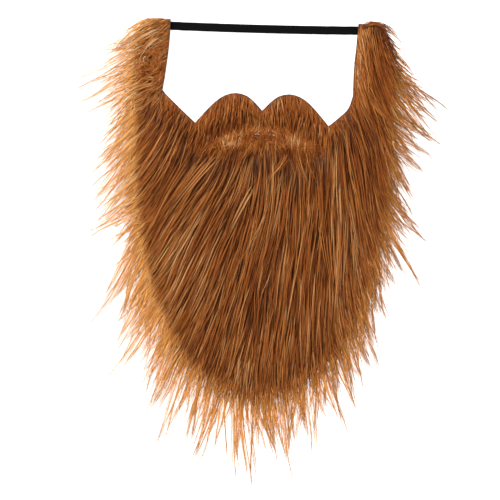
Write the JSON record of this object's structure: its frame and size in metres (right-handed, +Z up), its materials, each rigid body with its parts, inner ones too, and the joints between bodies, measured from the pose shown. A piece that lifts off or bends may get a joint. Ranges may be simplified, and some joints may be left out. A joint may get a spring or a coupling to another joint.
{
  "type": "fake beard",
  "caption": "Costume full beard of long ginger fur on a cut base cloth, with a moustache over a mouth slit, sideburns, and a flat elastic band from tip to tip.",
  "frame": {"origin": "on the underside of the base cloth, in the middle of the chin, on the midline of the beard", "axes": "+Z up out of the fur as the beard lies on its back, +Y from the chin to the sideburns and the elastic band, +X to the right as seen from above"},
  "size_m": [0.261, 0.3157, 0.0157],
  "materials": {
    "fur": "soft satin acrylic pile",
    "base_cloth": "matt knitted cloth",
    "elastic": "matt braided elastic"
  },
  "bodies": {
    "root": {"base_cloth": "base_cloth", "beard_fur": "fur", "moustache_fur": "fur", "left_sideburn_fur": "fur", "right_sideburn_fur": "fur", "elastic_band": "elastic"}
  },
  "joints": []
}
